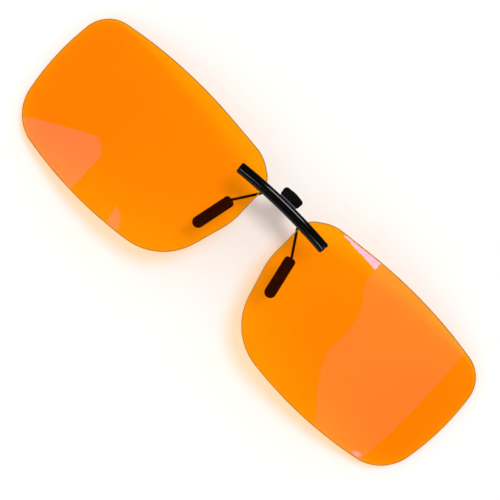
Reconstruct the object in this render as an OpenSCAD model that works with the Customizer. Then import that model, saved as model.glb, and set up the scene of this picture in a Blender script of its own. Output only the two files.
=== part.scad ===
// Clip-on blue light glasses: two rimless amber lenses on a slim bridge bar, with a sprung clip behind it.
// Stands upright as worn: +X to the viewer's right, -Y is the front, +Z up.
// The origin is the middle of the closed jaw, between the lens backs and the pads.

/* [Lenses] */
// Width of one lens
lens_w = 61.6; // [50:0.1:70]
// Height of one lens
lens_h = 41.1; // [34:0.1:50]
// Thickness of the lens
lens_t = 1.4; // [1:0.1:2.2]
// Radius of the lens front, a base curve for flat clip-ons
lens_r = 200; // [150:5:400]
// Gap between the two lenses at its narrowest
lens_gap = 12.9; // [11.6:0.1:20]
// Height of the lens top above the bar's middle
lens_rise = 7; // [5:0.1:12]
// Distance from the middle plane to the foremost point of each lens
lens_apex_x = 12; // [8:0.5:20]

/* [Lens outline] */
// Distance of the crown of the top edge from the inner edge
crown_x = 35.8; // [25:0.1:45]
// Height of the crown's control corner above the lens top
crown_lift = 1.5; // [0:0.1:2]
// Radius of the top edge
top_r = 137; // [100:1:200]
// Drop of the outer top corner below the lens top
top_out_drop = 2.5; // [1:0.1:5]
// Radius of the outer top corner
top_out_r = 8.6; // [5:0.1:12]
// Inset of the outer top corner from the outer edge
top_out_inset = 1.4; // [0:0.1:3]
// Bow of the outer edge's control corner past the outer edge
side_bow = 0.6; // [0:0.1:2]
// Radius of the outer edge
side_r = 69; // [40:1:120]
// Inset of the outer bottom corner from the outer edge
low_out_inset = 2.6; // [1:0.1:5]
// Rise of the outer bottom corner above the lens bottom
low_out_rise = 2.7; // [1:0.1:5]
// Radius of the outer bottom corner
low_out_r = 11.8; // [6:0.1:14]
// Distance of the lowest point from the inner edge
low_x = 32.6; // [25:0.1:40]
// Depth of the bottom edge's control corner below the lens bottom
low_dip = 1.5; // [0:0.1:2]
// Radius of the bottom edge
low_r = 112; // [80:1:180]
// Distance of the inner bottom corner from the inner edge
low_in_x = 5.8; // [5:0.1:12]
// Rise of the inner bottom corner above the lens bottom
low_in_rise = 2; // [0.5:0.1:4]
// Radius of the inner bottom corner
low_in_r = 15.8; // [10:0.1:20]
// Drop of the inner edge's control corner below the bar's middle
waist_drop = 12; // [10:0.1:18]
// Bow of the inner edge's control corner past the inner edge
waist_bow = 0.05; // [0:0.05:1]
// Radius of the inner edge
waist_r = 17.9; // [10:0.1:30]
// Height of the inner shoulder above the bar's middle
shoulder_rise = 1.5; // [1:0.1:5]
// Inset of the inner shoulder from the inner edge
shoulder_inset = 0.1; // [0:0.1:1]
// Radius of the inner shoulder
shoulder_r = 4.8; // [3:0.1:8]
// Distance of the inner top corner from the inner edge
top_in_x = 5.7; // [4:0.1:9]
// Drop of the inner top corner below the lens top
top_in_drop = 1.5; // [0.5:0.1:3]
// Radius of the inner top corner
top_in_r = 11; // [6:0.1:14]

/* [Bridge bar] */
// Length of the bar
bar_l = 29.4; // [26:0.1:34]
// Height of the bar
bar_h = 2.95; // [2.4:0.05:3.6]
// Depth of the bar
bar_d = 1.7; // [1.5:0.1:2.4]
// Rise of the bar's middle above its ends
bar_arch = 0.7; // [0.3:0.1:2]
// Bulge of the bar's domed front
bar_dome = 0.75; // [0.3:0.05:1]
// Radius of the bar's edges
bar_edge_r = 0.3; // [0.1:0.05:0.4]
// Radius of the corners at the bar's ends
bar_end_r = 0.45; // [0.2:0.05:0.8]
// Height of the bar's middle above the jaw's middle
bar_z = 13.5; // [11:0.1:18]

/* [Lens fixings] */
// Distance of each inner stud from the middle plane
stud_in_x = 8.9; // [8.6:0.1:10]
// Distance between the two studs of a lens
stud_pitch = 3.7; // [3:0.1:4.2]
// Radius of a threaded stud
stud_r = 0.55; // [0.4:0.05:0.6]
// Depth of a stud's seat in the bar
stud_seat = 0.9; // [0.5:0.1:1]
// Radius of the hole in the lens
lens_hole_r = 1; // [0.8:0.05:1.1]
// Clearance between a bush and its hole
bush_fit = 0.04; // [0.02:0.01:0.08]
// Radius of a bush flange and a washer
washer_r = 1.2; // [1.1:0.05:1.25]
// Thickness of a bush flange
flange_t = 0.3; // [0.2:0.05:0.5]
// Thickness of a washer
washer_t = 0.25; // [0.2:0.05:0.5]
// Width of a nut across its corners
nut_w = 2.3; // [2:0.05:2.4]
// Thickness of a nut
nut_t = 0.8; // [0.5:0.05:1.2]

/* [Hinge] */
// Radius of the clip wire, which is also the hinge axle
wire_r = 0.35; // [0.3:0.01:0.4]
// Running clearance of the wire in the bracket's ears
axle_fit = 0.04; // [0.02:0.01:0.08]
// Distance between the outer faces of the bracket's ears
bracket_w = 10.9; // [10:0.1:11]
// Height of the bracket
bracket_h = 2.2; // [2:0.1:2.4]
// Thickness of the bracket's sheet
sheet_t = 0.45; // [0.3:0.05:0.6]
// Radius of an ear's round end
ear_r = 0.9; // [0.7:0.05:1]
// Distance of each bracket rivet from the middle plane
rivet_x = 1.9; // [1.2:0.1:2.5]
// Radius of a rivet's shank
rivet_r = 0.45; // [0.3:0.05:0.5]
// Radius of a rivet's head
rivet_head_r = 0.75; // [0.6:0.05:0.9]
// Thickness of a rivet's head
rivet_head_t = 0.3; // [0.2:0.05:0.4]
// Depth of a rivet in the bar
rivet_seat = 0.9; // [0.5:0.1:1]
// Thickness of a thrust washer between an ear and the lever
thrust_t = 0.16; // [0.1:0.02:0.24]
// Radius of a thrust washer
thrust_r = 0.8; // [0.6:0.05:0.9]
// Side play of the lever between its washers
side_play = 0.04; // [0.02:0.01:0.08]

/* [Lever] */
// Backward lean of the thumb lever at rest, in degrees
lever_lean = 6; // [0:1:10]
// Thickness of the lever's leaf
leaf_t = 0.5; // [0.4:0.05:0.7]
// Length of each knuckle round the wire
knuckle_l = 1.3; // [1:0.1:1.4]
// Radius of the knuckles
knuckle_r = 0.9; // [0.7:0.05:1]
// Height of the lever's shoulders above the axle
shoulder_h = 1.24; // [1.1:0.02:1.3]
// Width of the lever's neck under the grip
neck_w = 5.3; // [4.6:0.1:5.6]
// Width of the lever's tongue inside the grip
tongue_w = 4.4; // [3.6:0.1:4.8]
// Height of the tongue's end above the axle
tongue_h = 3.6; // [3.2:0.1:3.8]

/* [Grip] */
// Height of the grip's lower edge above the axle
grip_low = 1.95; // [1.6:0.05:2.4]
// Height of the grip's top above the axle
grip_high = 4.35; // [3.9:0.05:6]
// Width of the grip at its top
grip_w = 6.3; // [5.4:0.1:8]
// Width of the grip at its lower edge
grip_low_w = 5.7; // [5.2:0.1:7]
// Thickness of the grip
grip_t = 1.7; // [1.3:0.1:2.4]
// Radius of the grip's top corners
grip_corner_r = 0.85; // [0.4:0.05:1]
// Radius of the grip's lower corners
grip_low_r = 0.2; // [0.1:0.05:0.5]
// Rise of the grip's top edge at its middle
grip_crown = 0.3; // [0:0.05:0.6]

/* [Clip arms] */
// Distance from the middle plane to each arm where it leaves the axle
arm_x = 6.15; // [6.1:0.05:6.6]
// Distance from the middle plane to each knee
knee_x = 6.35; // [6.3:0.05:7.5]
// Drop of each knee below the axle
knee_drop = 1.7; // [1.6:0.1:4]
// Bend radius where the wire turns down
arm_bend_r = 0.55; // [0.45:0.05:0.6]
// Bend radius at the knee and at the pad
knee_bend_r = 1; // [0.6:0.1:1.4]
// Bend radius at the end of the loop
loop_bend_r = 0.5; // [0.4:0.05:0.55]
// Half width of the wire loop inside a pad, at the wire's middle
loop_r = 0.75; // [0.6:0.05:0.85]

/* [Pads] */
// Distance from the middle plane to a pad's top
pad_top_x = 10.45; // [9:0.05:12]
// Drop of a pad's top below the axle
pad_top_drop = 7.9; // [7:0.1:9]
// Outward lean of the pads from upright, in degrees
pad_lean = 12.3; // [0:0.1:16]
// Length of a pad
pad_l = 11.5; // [9:0.1:14]
// Width of a pad
pad_w = 3; // [2.6:0.1:4]
// Thickness of a pad
pad_t = 1.5; // [1.4:0.1:2]
// Radius of a pad's top corners
pad_top_r = 0.9; // [0.5:0.1:1.2]
// Radius of a pad's long edges
pad_edge_r = 0.55; // [0.3:0.05:0.7]
// Clearance between a pad and the wire inside it
pad_fit = 0.02; // [0.01:0.01:0.05]
// Gap between the closed pads and the lens backs
jaw_gap = 0.3; // [0.2:0.05:0.6]

/* [Torsion spring] */
// Radius of the coil at the wire's middle
coil_r = 0.7; // [0.6:0.02:0.74]
// Diameter of the spring wire
coil_wire = 0.28; // [0.2:0.02:0.3]
// Number of curls
curls = 8; // [4:1:8]
// Length of the coil from first to last curl
coil_l = 5.8; // [5.6:0.1:5.9]
// Bend radius of the spring's legs
leg_bend = 0.3; // [0.2:0.05:0.35]
// Height of the moving leg's tip above the axle
leg_high = 1.08; // [1.05:0.01:1.1]
// Drop of the fixed leg's tip below the axle
leg_low = 0.8; // [0.7:0.05:0.9]

/* [Hidden] */
$fn = 48;
// Smallest gap between two faces that meet
seat = 0.01;
// Largest share of an edge that its two roundings may take
edge_share = 0.995;
// Steps along each rounded corner of an outline, and along each bend of the wire
arc_steps = 10;
bend_steps = 4;
// Overlap of a cutting tool past the face that it cuts
past = 1;
// How far the axle's ends stand out of the bracket's ears
axle_proud = 0.08;
// How far a stud ends short of its nut's back
stud_short = 0.05;
// Room between the coil and the lever's window
coil_room = 0.08;
// Height of the grip's crown above its top, where the two top edges would meet
crown_point = grip_crown / 4;

// Lens inner and outer edge, top and bottom
lens_in = lens_gap / 2;
lens_out = lens_in + lens_w;
lens_top = bar_z + lens_rise;
lens_low = lens_top - lens_h;
// Centre of the sphere that the lens front lies on
lens_front_y = -jaw_gap / 2 - lens_t;
lens_centre_y = lens_front_y + lens_r;
// Depth room for cutting the whole lens
lens_room = (lens_out * lens_out + lens_h * lens_h) / (2 * lens_r) + lens_t + past;

// The bar bends on a circle through its ends and middle
bar_curve_r = (bar_l * bar_l / 4 + bar_arch * bar_arch) / (2 * bar_arch);
bar_half_angle = asin(bar_l / 2 / bar_curve_r);
stud_out_x = stud_in_x + stud_pitch;
stud_xs = [stud_in_x, stud_out_x];

// Depths of the lens stack, from the bar to the nuts
flange_y = front_y(lens_apex_x, bar_mid_z(stud_out_x) - washer_r) - seat;
bar_back = flange_y - flange_t;
washer_y = back_y(lens_in, bar_mid_z(stud_in_x) + washer_r) + seat;
nut_y = washer_y + washer_t;
stack_y = nut_y + nut_t;

// Axle line, shared by the wire, the pads' middle plane and the bracket
axle_y = jaw_gap / 2 + pad_t / 2;
ear_bore_r = wire_r + axle_fit;
ear_in_x = bracket_w / 2 - sheet_t;
knuckle_out_x = ear_in_x - thrust_t - side_play;
knuckle_in_x = knuckle_out_x - knuckle_l;
plate_back = bar_back + sheet_t;
bore_r = wire_r + seat;

// Pad frame: one vector along the pad, one across it
pad_along = [sin(pad_lean), -cos(pad_lean)];
pad_across = [cos(pad_lean), sin(pad_lean)];
pad_top = [pad_top_x, bar_z - pad_top_drop];
knee = [knee_x, bar_z - knee_drop];
// Where the wire's slope meets the outer side of its loop
slope = unit(pad_top - knee);
loop_in = pad_top + slope * loop_r / (slope * pad_across);
// The loop stops short of the pad's round end and of its own start
loop_end = pad_l - pad_w / 2 + wire_r / 2;
loop_start = (loop_in - pad_top) * pad_along;

function unit(v) = v / norm(v);
function front_y(x, z) = lens_centre_y - sqrt(lens_r ^ 2 - (x - lens_apex_x) ^ 2 - z ^ 2);
function back_y(x, z) = lens_centre_y - sqrt((lens_r - lens_t) ^ 2 - (x - lens_apex_x) ^ 2 - z ^ 2);
function bar_mid_z(x) = bar_z + sqrt(bar_curve_r ^ 2 - x ^ 2) - bar_curve_r;

// Outline through corners [x, y, radius]; where two roundings would meet on an edge, both shrink to fit it
function rounded(c) =
  let (
    n = len(c),
    before = [for (i = [0 : n - 1]) unit(xy(c[(i + n - 1) % n]) - xy(c[i]))],
    after = [for (i = [0 : n - 1]) unit(xy(c[(i + 1) % n]) - xy(c[i]))],
    take = [for (i = [0 : n - 1]) c[i][2] / tan(acos(before[i] * after[i]) / 2)],
    edge = [for (i = [0 : n - 1]) norm(xy(c[(i + 1) % n]) - xy(c[i]))],
    room = [for (i = [0 : n - 1]) edge_share * edge[i] / (take[i] + take[(i + 1) % n])]
  )
  [for (i = [0 : n - 1])
    each corner_arc(xy(c[i]), before[i], after[i], c[i][2] * min(1, room[i], room[(i + n - 1) % n]))];
function xy(c) = [c[0], c[1]];
function corner_arc(p, a, b, r, steps = arc_steps) =
  let (
    half = acos(a * b) / 2,
    centre = p + unit(a + b) * r / sin(half),
    from = p + a * r / tan(half) - centre,
    to = p + b * r / tan(half) - centre,
    start = atan2(from[1], from[0]),
    sweep = (atan2(to[1], to[0]) - start + 540) % 360 - 180
  )
  [for (k = [0 : steps]) centre + r * [cos(start + sweep * k / steps), sin(start + sweep * k / steps)]];

// Lens outline seen from the front, right-hand side, counter-clockwise from the inner shoulder
lens_corners = [
  [lens_in + shoulder_inset, bar_z + shoulder_rise, shoulder_r],
  [lens_in - waist_bow, bar_z - waist_drop, waist_r],
  [lens_in + low_in_x, lens_low + low_in_rise, low_in_r],
  [lens_in + low_x, lens_low - low_dip, low_r],
  [lens_out - low_out_inset, lens_low + low_out_rise, low_out_r],
  [lens_out + side_bow, bar_z - waist_drop, side_r],
  [lens_out - top_out_inset, lens_top - top_out_drop, top_out_r],
  [lens_in + crown_x, lens_top + crown_lift, top_r],
  [lens_in + top_in_x, lens_top - top_in_drop, top_in_r]
];

// Stands a shape drawn in the X-Y plane up in the X-Z plane, its thickness towards the front from y
module stand(y) translate([0, y, 0]) rotate([90, 0, 0]) children();

// Rod along Y from y0 to y1
module rod_y(x, z, r, y0, y1) translate([x, y0, z]) rotate([-90, 0, 0]) cylinder(h = y1 - y0, r = r);

// Rod along X from x0 to x1, on the axle line
module rod_x(r, x0, x1) translate([x0, axle_y, bar_z]) rotate([0, 90, 0]) cylinder(h = x1 - x0, r = r);

// Repeats its children at both studs of the lens on one side
module at_studs(side) for (x = stud_xs) translate([side * x, 0, bar_mid_z(x)]) children();

module on_side(side) mirror([side < 0 ? 1 : 0, 0, 0]) children();

module lens(side) {
  color("darkorange") on_side(side) difference() {
    intersection() {
      difference() {
        translate([lens_apex_x, lens_centre_y, 0]) sphere(r = lens_r, $fn = 360);
        translate([lens_apex_x, lens_centre_y, 0]) sphere(r = lens_r - lens_t, $fn = 360);
      }
      stand(lens_front_y + lens_room) linear_extrude(lens_room + past) polygon(rounded(lens_corners));
    }
    at_studs(1) rod_y(0, 0, lens_hole_r, lens_front_y - past, back_y(0, bar_z) + past);
  }
}

// Section of the bar: flat back, domed front, rounded edges; x is the height and y the depth
module bar_section() {
  dome_r = (bar_h * bar_h / 4 + bar_dome * bar_dome) / (2 * bar_dome);
  intersection() {
    polygon(rounded([
      [-bar_h / 2, 0, bar_edge_r], [bar_h / 2, 0, bar_edge_r],
      [bar_h / 2, bar_d + past, bar_edge_r], [-bar_h / 2, bar_d + past, bar_edge_r]
    ]));
    translate([0, bar_d - dome_r]) circle(r = dome_r, $fn = 96);
  }
}

// What a rounded corner takes off the bar's end, drawn with the corner at the origin
module bar_end_cut() {
  difference() {
    translate([-past, -past]) square([bar_end_r + past, bar_end_r + past]);
    translate([bar_end_r, bar_end_r]) circle(r = bar_end_r);
  }
}

module bridge_bar() {
  color([0.06, 0.06, 0.07]) difference() {
    translate([0, bar_back, bar_z - bar_curve_r]) rotate([90, 0, 0])
      rotate([0, 0, 90 - bar_half_angle])
        rotate_extrude(angle = 2 * bar_half_angle, $fn = 360) translate([bar_curve_r, 0]) bar_section();
    for (side = [-1, 1], up = [-1, 1])
      translate([0, bar_back + past, bar_z - bar_curve_r]) rotate([0, side * bar_half_angle, 0])
        translate([0, 0, bar_curve_r + up * bar_h / 2]) mirror([side < 0 ? 0 : 1, 0, 0])
          mirror([0, 0, up > 0 ? 1 : 0]) rotate([90, 0, 0]) linear_extrude(bar_d + 2 * past) bar_end_cut();
    for (side = [-1, 1]) at_studs(side) rod_y(0, 0, stud_r, bar_back - stud_seat, bar_back + past);
    for (x = [-rivet_x, rivet_x]) rod_y(x, bar_z, rivet_r, bar_back - rivet_seat, bar_back + past);
  }
}

module lens_studs(side) {
  color("silver") at_studs(side) rod_y(0, 0, stud_r, bar_back - stud_seat, stack_y - stud_short);
}

module lens_bushes(side) {
  color("ivory") at_studs(side) difference() {
    union() {
      rod_y(0, 0, washer_r, bar_back, flange_y);
      rod_y(0, 0, lens_hole_r - bush_fit, bar_back, washer_y - seat);
    }
    rod_y(0, 0, stud_r + seat, bar_back - past, washer_y + past);
  }
}

module lens_washers(side) {
  color("silver") at_studs(side) difference() {
    rod_y(0, 0, washer_r, washer_y, nut_y);
    rod_y(0, 0, stud_r + seat, washer_y - past, nut_y + past);
  }
}

module lens_nuts(side) {
  color("silver") at_studs(side) difference() {
    translate([0, nut_y, 0]) rotate([-90, 0, 0]) cylinder(h = nut_t, r = nut_w / 2, $fn = 6);
    rod_y(0, 0, stud_r, nut_y - past, stack_y + past);
  }
}

// Channel of sheet metal: a plate on the bar's back and two ears that carry the wire
module hinge_bracket() {
  color("dimgray") difference() {
    union() {
      translate([-bracket_w / 2, bar_back, bar_z - bracket_h / 2]) cube([bracket_w, sheet_t, bracket_h]);
      for (side = [-1, 1]) on_side(side) {
        translate([ear_in_x, bar_back, bar_z - ear_r]) cube([sheet_t, axle_y - bar_back, 2 * ear_r]);
        rod_x(ear_r, ear_in_x, ear_in_x + sheet_t);
      }
    }
    for (side = [-1, 1]) on_side(side) rod_x(ear_bore_r, ear_in_x - past, ear_in_x + sheet_t + past);
    for (x = [-rivet_x, rivet_x]) rod_y(x, bar_z, rivet_r, bar_back - past, plate_back + past);
  }
}

module bracket_rivets() {
  color("silver") for (x = [-rivet_x, rivet_x]) {
    rod_y(x, bar_z, rivet_r, bar_back - rivet_seat, plate_back);
    rod_y(x, bar_z, rivet_head_r, plate_back, plate_back + rivet_head_t);
  }
}

module hinge_washers() {
  color("ivory") for (side = [-1, 1]) on_side(side) difference() {
    rod_x(thrust_r, ear_in_x - thrust_t, ear_in_x);
    rod_x(ear_bore_r, ear_in_x - thrust_t - past, ear_in_x + past);
  }
}

// Middle line of the spring: moving leg, coil, fixed leg
leaf_dir = [0, cos(lever_lean), -sin(lever_lean)];
leaf_front_y = axle_y + leg_high * tan(lever_lean) - leaf_t / 2 / cos(lever_lean);
leg_tip = [-coil_l / 2, leaf_front_y - seat, bar_z + leg_high];
leg_turn = [-coil_l / 2, axle_y - coil_r, bar_z + leg_high - leg_bend];
fixed_turn = [coil_l / 2, axle_y - coil_r, bar_z - leg_low + leg_bend];
curl_steps = 8;
// Middle of a leg's quarter bend, from where the bend starts
leg_mid = leg_bend * [0, 1 - cos(45), sin(45)];
coil_line = [
  for (k = [0 : curls * curl_steps])
    let (a = 180 + 360 * k / curl_steps)
    [coil_l * (k / (curls * curl_steps) - 1 / 2), axle_y + coil_r * cos(a), bar_z + coil_r * sin(a)]
];
spring_line = concat(
  [leg_tip, leg_tip - leaf_dir * coil_wire, leg_turn + leg_mid, leg_turn],
  coil_line,
  [fixed_turn, fixed_turn - leg_mid, fixed_turn + [0, -leg_bend, -leg_bend],
    [coil_l / 2, plate_back + seat, bar_z - leg_low]]
);

// Least distance between turns, measured from point to point of the coil, less the wire
turn_gap = min([
  for (i = [0 : len(coil_line) - 1], j = [i + curl_steps / 2 : 1 : len(coil_line) - 1])
    norm(coil_line[i] - coil_line[j])
]) - coil_wire;
echo(turn_gap = turn_gap);

// Tube swept along a line of points that never runs along the direction across
module swept_tube(line, r, sides, across) {
  last = len(line) - 1;
  rings = [
    for (i = [0 : last])
      let (
        t = unit(line[min(i + 1, last)] - line[max(i - 1, 0)]),
        n = unit(cross(t, across)),
        m = cross(t, n)
      )
      for (k = [0 : sides - 1]) line[i] + r * (cos(360 * k / sides) * n + sin(360 * k / sides) * m)
  ];
  walls = [
    for (i = [0 : last - 1], k = [0 : sides - 1])
      let (a = i * sides + k, b = i * sides + (k + 1) % sides)
      each [[a, a + sides, b], [b, a + sides, b + sides]]
  ];
  first_cap = [for (k = [1 : sides - 2]) [0, k, k + 1]];
  last_cap = [for (k = [1 : sides - 2]) [last * sides, last * sides + k + 1, last * sides + k]];
  polyhedron(points = rings, faces = concat(walls, first_cap, last_cap));
}

module torsion_spring() {
  color("silver") swept_tube(spring_line, coil_wire / 2, 6, [1, 0, 0]);
}

// Middle line of the wire on the right-hand side, as corners [x, z, bend radius]
arm_corners = [
  [bracket_w / 2, bar_z, 0],
  [arm_x, bar_z, arm_bend_r],
  [knee[0], knee[1], knee_bend_r],
  [loop_in[0], loop_in[1], knee_bend_r],
  each [for (across = [loop_r, -loop_r]) let (p = pad_top + across * pad_across + loop_end * pad_along)
    [p[0], p[1], loop_bend_r]],
  let (p = pad_top - loop_r * pad_across + loop_start * pad_along) [p[0], p[1], 0]
];

// Points along a line with bent corners, from its first corner to its last
function bent(c) = concat(
  [xy(c[0])],
  [
    for (i = [1 : len(c) - 2])
      let (p = xy(c[i]), before = unit(xy(c[i - 1]) - p), after = unit(xy(c[i + 1]) - p))
      each corner_arc(p, before, after, c[i][2], bend_steps)
  ],
  [xy(c[len(c) - 1])]
);

// One wire: the straight stretch is the axle, and each end is an arm with a loop inside its pad
module clip_wire() {
  arm_line = [for (p = bent(arm_corners)) [p[0], axle_y, p[1]]];
  color([0.13, 0.12, 0.12]) {
    rod_x(wire_r, -bracket_w / 2 - axle_proud, bracket_w / 2 + axle_proud);
    for (side = [-1, 1]) on_side(side) swept_tube(arm_line, wire_r - seat, 10, [0, 1, 0]);
  }
}

// Puts a shape into the lever's own frame: axle at the origin, leaf along +Z, leaning back
module on_lever() translate([0, axle_y, bar_z]) rotate([-lever_lean, 0, 0]) children();

module leaf_plate(w, low, high, t) translate([-w / 2, -t / 2, low]) cube([w, t, high - low]);

module thumb_lever() {
  window_w = 2 * knuckle_in_x;
  window_h = coil_r + coil_wire / 2 + coil_room;
  color("dimgray") on_lever() difference() {
    union() {
      leaf_plate(2 * knuckle_out_x, 0, shoulder_h, leaf_t);
      leaf_plate(neck_w, shoulder_h, grip_low + seat, leaf_t);
      leaf_plate(tongue_w, grip_low, tongue_h, leaf_t);
      for (side = [-1, 1]) on_side(side) translate([knuckle_in_x, 0, 0]) rotate([0, 90, 0])
        cylinder(h = knuckle_l, r = knuckle_r);
    }
    translate([-window_w / 2, -knuckle_r - past, -knuckle_r - past])
      cube([window_w, 2 * (knuckle_r + past), window_h + knuckle_r + past]);
    rotate([0, 90, 0]) cylinder(h = 2 * knuckle_out_x + past, r = bore_r, center = true);
  }
}

module thumb_grip() {
  top = grip_high - grip_crown;
  color([0.08, 0.08, 0.08]) on_lever() difference() {
    stand(grip_t / 2) linear_extrude(grip_t) polygon(rounded([
      [-grip_low_w / 2, grip_low, grip_low_r],
      [grip_low_w / 2, grip_low, grip_low_r],
      [grip_w / 2, top, grip_corner_r],
      [0, grip_high + crown_point, grip_w],
      [-grip_w / 2, top, grip_corner_r]
    ]));
    leaf_plate(tongue_w + 2 * seat, grip_low - past, tongue_h + seat, leaf_t + 2 * seat);
  }
}

// Puts a shape into a pad's own frame: its top at the origin, X across it, Z up along it
module on_pad(side) on_side(side)
  translate([pad_top[0], axle_y, pad_top[1]]) rotate([0, -pad_lean, 0]) children();

// Rounded bar along Z, w wide and t deep, from z0 to z1
module soft_bar(w, t, r, z0, z1) translate([0, 0, z0]) linear_extrude(z1 - z0) polygon(rounded([
  [-w / 2, -t / 2, r], [w / 2, -t / 2, r], [w / 2, t / 2, r], [-w / 2, t / 2, r]
]));

// Silicone sleeve with a slot for the wire loop and a hole where the wire comes in
module pad(side) {
  slot_r = wire_r + pad_fit;
  color([0.10, 0.09, 0.09]) difference() {
    on_pad(side) intersection() {
      stand(pad_t / 2) linear_extrude(pad_t) polygon(rounded([
        [-pad_w / 2, 0, pad_top_r], [pad_w / 2, 0, pad_top_r],
        [pad_w / 2, -pad_l, pad_w / 2 - seat], [-pad_w / 2, -pad_l, pad_w / 2 - seat]
      ]));
      soft_bar(pad_w, pad_t, pad_edge_r, -pad_l - past, past);
    }
    on_pad(side)
      soft_bar(2 * (loop_r + slot_r), 2 * slot_r, slot_r - seat, -loop_end - slot_r, 2 * slot_r - loop_start);
    on_side(side) stand(axle_y) translate(loop_in) rotate([0, 0, atan2(-slope[1], -slope[0])])
      rotate([0, 90, 0]) cylinder(h = norm(loop_in - pad_top) + past, r = slot_r);
  }
}

bridge_bar();
lens(-1);  // left_lens
lens(1);  // right_lens
lens_studs(-1);  // left_lens_studs
lens_studs(1);  // right_lens_studs
lens_bushes(-1);  // left_lens_bushes
lens_bushes(1);  // right_lens_bushes
lens_washers(-1);  // left_lens_washers
lens_washers(1);  // right_lens_washers
lens_nuts(-1);  // left_lens_nuts
lens_nuts(1);  // right_lens_nuts
hinge_bracket();
bracket_rivets();
hinge_washers();
torsion_spring();
clip_wire();
thumb_lever();
thumb_grip();
pad(-1);  // left_pad
pad(1);  // right_pad
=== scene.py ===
"""Dresses the clip-on blue light glasses: rimless amber lenses, a bridge bar and a sprung clip behind it.

The part stands upright as worn. The camera is turned, so the glasses lie across the picture. Sizes are in
millimetres here, and each finished mesh is scaled to metres.
"""

import logging
import math
from dataclasses import dataclass, field
from enum import Enum
from typing import Iterable, Sequence

import bmesh
import bpy
from mathutils import Matrix, Vector


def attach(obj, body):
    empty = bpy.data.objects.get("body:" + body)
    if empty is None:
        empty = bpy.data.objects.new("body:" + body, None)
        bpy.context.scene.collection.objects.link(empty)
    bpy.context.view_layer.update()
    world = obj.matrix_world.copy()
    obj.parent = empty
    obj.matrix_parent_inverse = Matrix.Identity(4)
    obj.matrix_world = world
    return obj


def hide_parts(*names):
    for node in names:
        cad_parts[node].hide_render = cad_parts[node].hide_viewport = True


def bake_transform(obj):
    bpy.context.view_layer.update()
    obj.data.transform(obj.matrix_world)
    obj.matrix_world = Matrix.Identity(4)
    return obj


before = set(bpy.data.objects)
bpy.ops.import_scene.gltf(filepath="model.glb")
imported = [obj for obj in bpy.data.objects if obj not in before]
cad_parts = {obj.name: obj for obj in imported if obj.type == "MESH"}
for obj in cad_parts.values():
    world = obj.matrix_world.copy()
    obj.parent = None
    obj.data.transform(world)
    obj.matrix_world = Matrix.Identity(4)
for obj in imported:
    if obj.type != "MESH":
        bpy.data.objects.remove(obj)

Mesh = bmesh.types.BMesh
Vert = bmesh.types.BMVert
Edge = bmesh.types.BMEdge
Face = bmesh.types.BMFace
Tree = bpy.types.NodeTree
Socket = bpy.types.NodeSocket
Node = bpy.types.Node
Material = bpy.types.Material
Object = bpy.types.Object
Inputs = dict[str | int, float | Sequence[float] | Socket]
Triple = tuple[float, float, float]

LOG = logging.getLogger("glasses")
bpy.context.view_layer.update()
MM = 0.001
ACROSS = Vector((1, 0, 0))
BACK = Vector((0, 1, 0))
UP = Vector((0, 0, 1))

# Distances under which points are welded, cuts fall on points, and faces count as empty
WELD_DIST = 0.0005
CUT_DIST = 1e-5
EMPTY_DIST = 1e-4

# How far large faces set the shading at soft edges, of 100
FACE_WEIGHT = 60

# Turn in degrees over which an edge of a rod stays sharp, as round its ends
SHARP_OVER = 50

# Places and sizes that several pieces share, in millimetres and degrees
AXLE_Y = 0.9
BAR_Z = 13.5
JAW_GAP = 0.3
LENS_T = 1.4
LEVER_LEAN = 6.0
PAD_TOP = (10.45, 5.6)
PAD_LEAN = 12.3
PAD_LENGTH = 11.5
PAD_WIDTH = 3.0


class Side(Enum):
    """Which half of the glasses a piece belongs to, seen from the front."""

    LEFT = -1
    RIGHT = 1

    @property
    def word(self) -> str:
        """Name of the side, as the nodes use it."""
        return self.name.lower()


class Body(Enum):
    """The part's two bodies: the one with the lenses, and the one that swings."""

    CARRIER = "lens_carrier"
    LEVER = "clip_lever"


# Mesh helpers


def only(geom: Iterable, kind: type) -> list:
    """Picks the elements of one kind.

    Args:
        geom: What a mesh operator gives back.
        kind: The kind, such as points or edges.

    Returns:
        The elements of that kind.
    """
    return [g for g in geom if isinstance(g, kind)]


def edges_at(verts: Iterable[Vert]) -> list[Edge]:
    """Lists the edges that meet some points.

    Args:
        verts: The points.

    Returns:
        Their edges, each once.
    """
    return list(dict.fromkeys(e for v in verts for e in v.link_edges))


def spin_point(
    bm: Mesh, start: Vector, centre: Vector, axis: Vector, angle: float, steps: int
) -> tuple[Vert, Vert]:
    """Spins one point into an arc of edges.

    Args:
        bm: The mesh to draw in.
        start: Where the arc starts.
        centre: Centre of the arc.
        axis: Axis of the turn.
        angle: Turn in radians.
        steps: Number of edges.

    Returns:
        The first and the last point of the arc.
    """
    first = bm.verts.new(start)
    made = bmesh.ops.spin(
        bm, geom=[first], cent=centre, axis=axis, angle=angle, steps=steps, use_duplicate=False
    )
    return first, only(made["geom_last"], Vert)[0]


def arcs_to_face(bm: Mesh, arcs: Sequence[tuple[Vert, Vert]]) -> Face:
    """Joins arcs end to start and fills the loop.

    Args:
        bm: The mesh that holds the arcs.
        arcs: First and last point of each arc, in order.

    Returns:
        The face inside the loop.
    """
    for (_, last), (first, _) in zip(arcs, [*arcs[1:], arcs[0]]):
        if last is not first:
            bm.edges.new((last, first))
    bmesh.ops.contextual_create(bm, geom=bm.edges[:])
    return bm.faces[:][0]


def cut(bm: Mesh, co: Vector, normal: Vector) -> None:
    """Cuts every face along a plane.

    Args:
        bm: The mesh.
        co: A point of the plane.
        normal: Its direction.
    """
    geom = [*bm.verts, *bm.edges, *bm.faces]
    bmesh.ops.bisect_plane(bm, geom=geom, dist=CUT_DIST, plane_co=co, plane_no=normal)


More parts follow.
